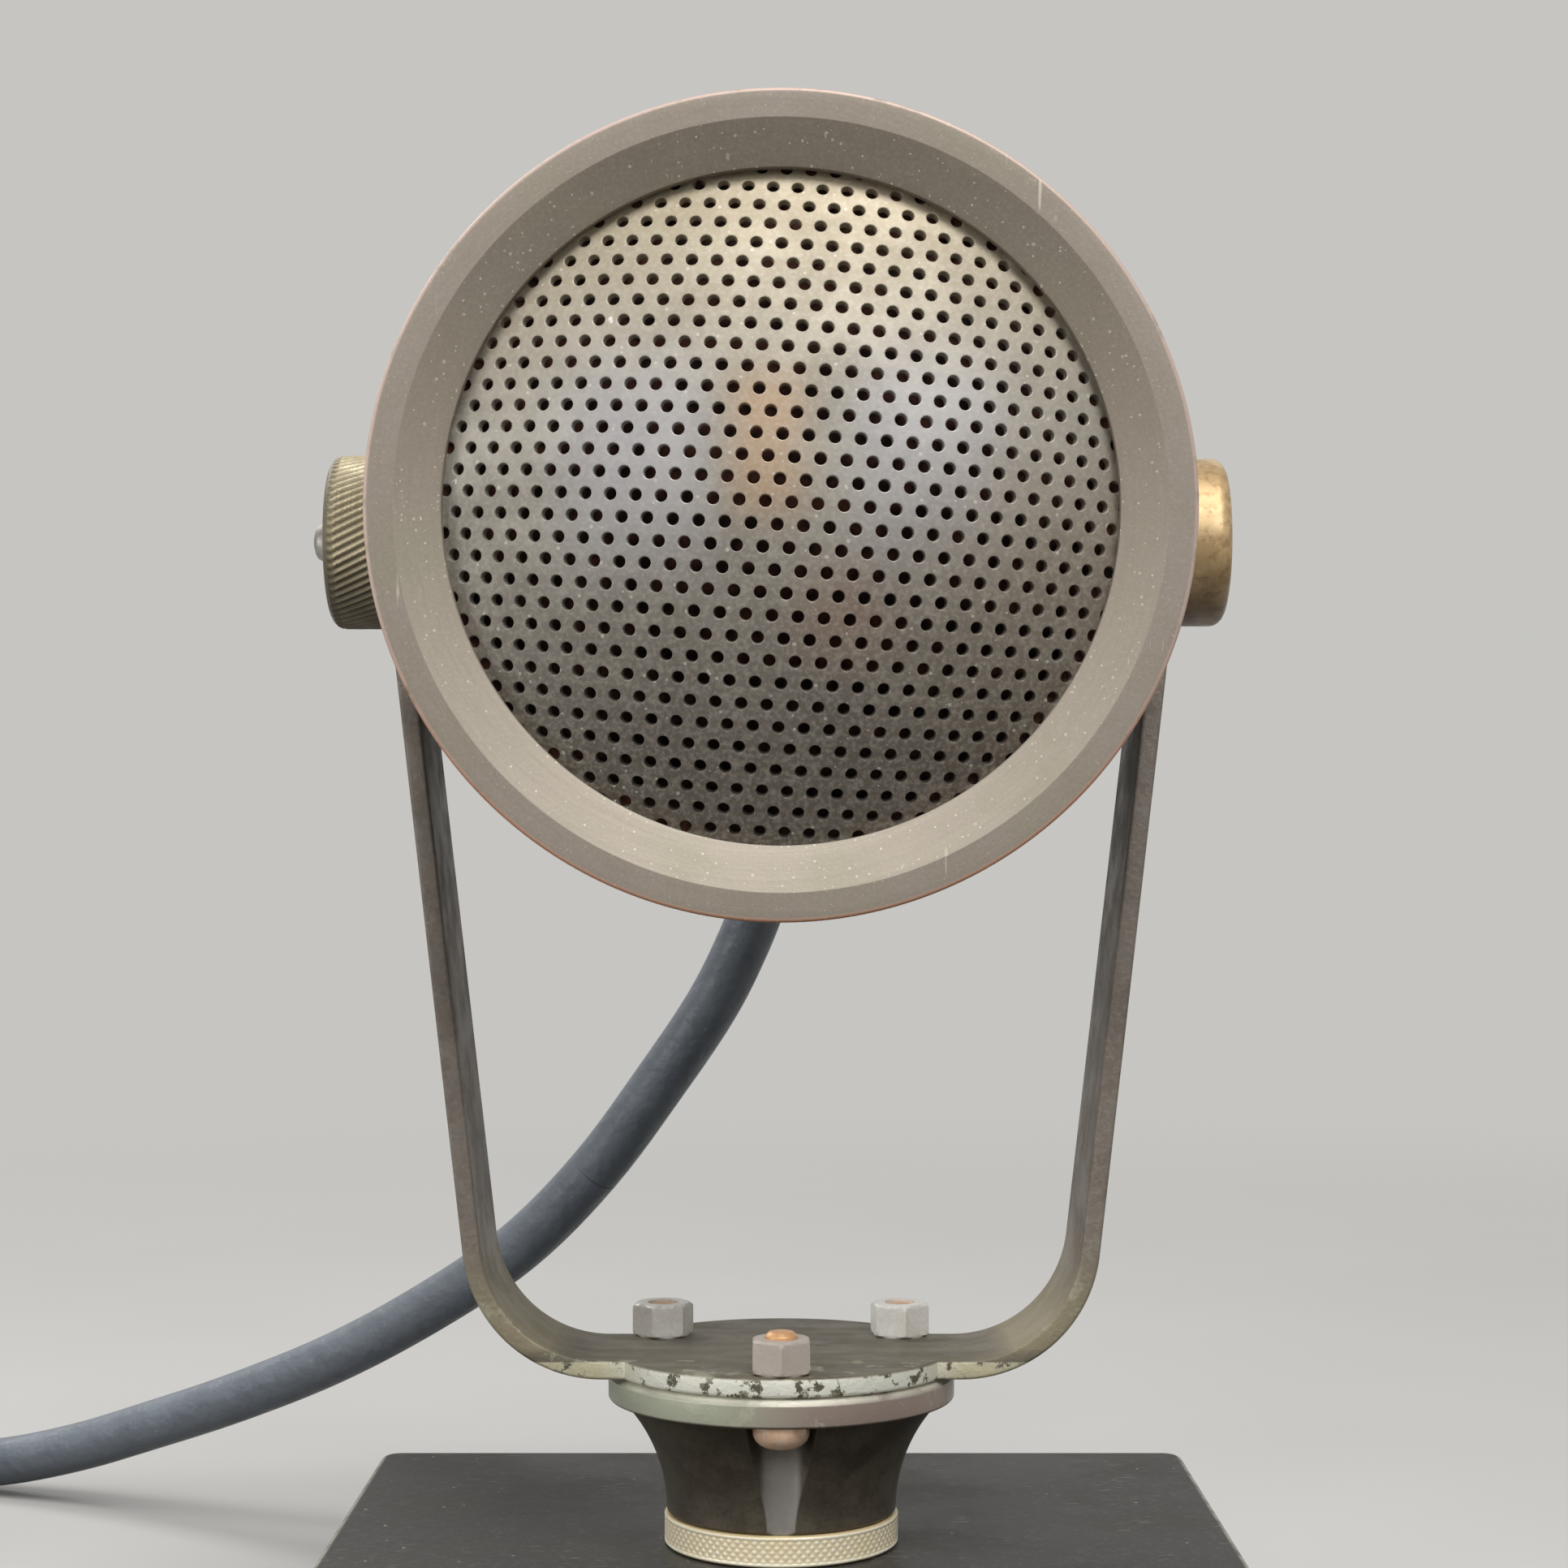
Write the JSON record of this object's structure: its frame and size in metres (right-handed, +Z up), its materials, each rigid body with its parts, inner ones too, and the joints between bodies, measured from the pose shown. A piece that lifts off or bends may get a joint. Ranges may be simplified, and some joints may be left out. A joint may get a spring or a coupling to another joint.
{
  "type": "yoke microphone",
  "caption": "Round moving-coil studio microphone that tilts in a bent yoke and turns on a low black block, with its rubber cable in a coil.",
  "frame": {"origin": "middle of the block's underside, on the felt", "axes": "+Z up, the grille faces -Y, +X to the right as seen from the front"},
  "size_m": [0.3269, 0.2302, 0.2059],
  "materials": {
    "black_enamel": "scratched black enamel",
    "felt": "dark felt",
    "steel": "turned",
    "black_rubber": "smooth",
    "nickel": "worn nickel plate",
    "insulation": "laminated board",
    "polished_brass": "polished, knurled",
    "black_patina": "blackened, glossy where rubbed",
    "bronze_patina": "brown-grey patina with pale verdigris",
    "copper_bolt": "copper-coloured",
    "knurled_bronze": "coarse diagonal knurl, dull",
    "worn_brass": "smooth, rubbed golden",
    "screw_steel": "dull",
    "turned_bronze": "turned, fine knurl on the rim",
    "grille_bronze": "oxidised perforated sheet",
    "gauze": "fine dark screen",
    "black_case": "smooth black enamel",
    "magnet_steel": "machined",
    "pad": "felt",
    "foil": "thin bright sheet",
    "copper_wire": "enamelled wire",
    "wire_sleeve": "red cotton sleeve",
    "gland_brass": "dull, knurled"
  },
  "bodies": {
    "base": {"base_block": "black_enamel", "base_felt": "felt", "stand_stud": "steel", "stud_washer": "steel", "stud_nut": "steel", "cable_run": "black_rubber", "cable_coil": "black_rubber", "cable_tail": "black_rubber", "plug_sleeve": "black_rubber", "plug_body": "nickel", "plug_insert": "insulation", "plug_pins": "polished_brass"},
    "plug_ring": {"plug_ring": "nickel"},
    "lock_ring": {"lock_ring": "polished_brass"},
    "yoke": {"flared_socket": "black_patina", "yoke_strap": "bronze_patina", "yoke_bolts": "copper_bolt", "yoke_nuts": "nickel", "left_friction_washer": "insulation", "right_friction_washer": "insulation"},
    "head": {"left_pivot_screw": "screw_steel", "right_pivot_screw": "screw_steel", "grille": "grille_bronze", "gauze": "gauze", "grille_gasket": "black_rubber", "body_shell": "black_case", "rear_cover": "black_case", "cover_gasket": "black_rubber", "cover_screws": "screw_steel", "pole_plate": "magnet_steel", "magnet": "magnet_steel", "back_plate": "magnet_steel", "pole_piece": "magnet_steel", "damping_pad": "pad", "acoustic_tube": "polished_brass", "surround": "foil", "diaphragm_seat": "polished_brass", "diaphragm_clamp": "polished_brass", "clamp_screws": "steel", "capsule_screws": "steel", "terminal_board": "insulation", "terminal_posts": "polished_brass", "terminal_screws": "polished_brass", "lead_wires": "wire_sleeve", "gland_body": "gland_brass", "cable_sleeve": "black_rubber"},
    "left_knob": {"left_knob": "knurled_bronze"},
    "right_knob": {"right_knob": "worn_brass"},
    "front_ring": {"front_ring": "turned_bronze"},
    "gland_nut": {"gland_nut": "gland_brass"},
    "diaphragm": {"diaphragm": "foil", "voice_coil": "copper_wire"}
  },
  "joints": [
    {"name": "pan", "type": "hinge", "parent": "base", "child": "yoke", "pos_m": [0, 0, 0.045], "axis": [0, 0, 1], "range_deg": [-170, 170], "deforming": ["cable_run"]},
    {"name": "lock_ring_turn", "type": "hinge", "parent": "base", "child": "lock_ring", "pos_m": [0, 0, 0.032], "axis": [0, 0, 1], "range_deg": [-180, 180]},
    {"name": "tilt", "type": "hinge", "parent": "yoke", "child": "head", "pos_m": [0, 0, 0.1584], "axis": [1, 0, 0], "range_deg": [-75, 40], "deforming": ["cable_run"]},
    {"name": "left_knob_turn", "type": "hinge", "parent": "head", "child": "left_knob", "pos_m": [-0.055, 0, 0.1584], "axis": [-1, 0, 0], "range_deg": [0, 360]},
    {"name": "right_knob_turn", "type": "hinge", "parent": "head", "child": "right_knob", "pos_m": [0.055, 0, 0.1584], "axis": [1, 0, 0], "range_deg": [0, 360]},
    {"name": "front_ring_turn", "type": "hinge", "parent": "head", "child": "front_ring", "pos_m": [0, -0.04, 0.1584], "axis": [0, -1, 0], "range_deg": [0, 360]},
    {"name": "gland_nut_turn", "type": "hinge", "parent": "head", "child": "gland_nut", "pos_m": [0, 0.044, 0.1504], "axis": [0, 0.7071, -0.7071], "range_deg": [0, 360]},
    {"name": "diaphragm_stroke", "type": "slide", "parent": "head", "child": "diaphragm", "axis": [0, 1, 0], "range_m": [-0.0003, 0.0003], "stiffness_N_per_m": 800},
    {"name": "plug_ring_turn", "type": "hinge", "parent": "base", "child": "plug_ring", "pos_m": [-0.15, 0.0305, 0.0095], "axis": [1, 0, 0], "range_deg": [0, 360]}
  ]
}
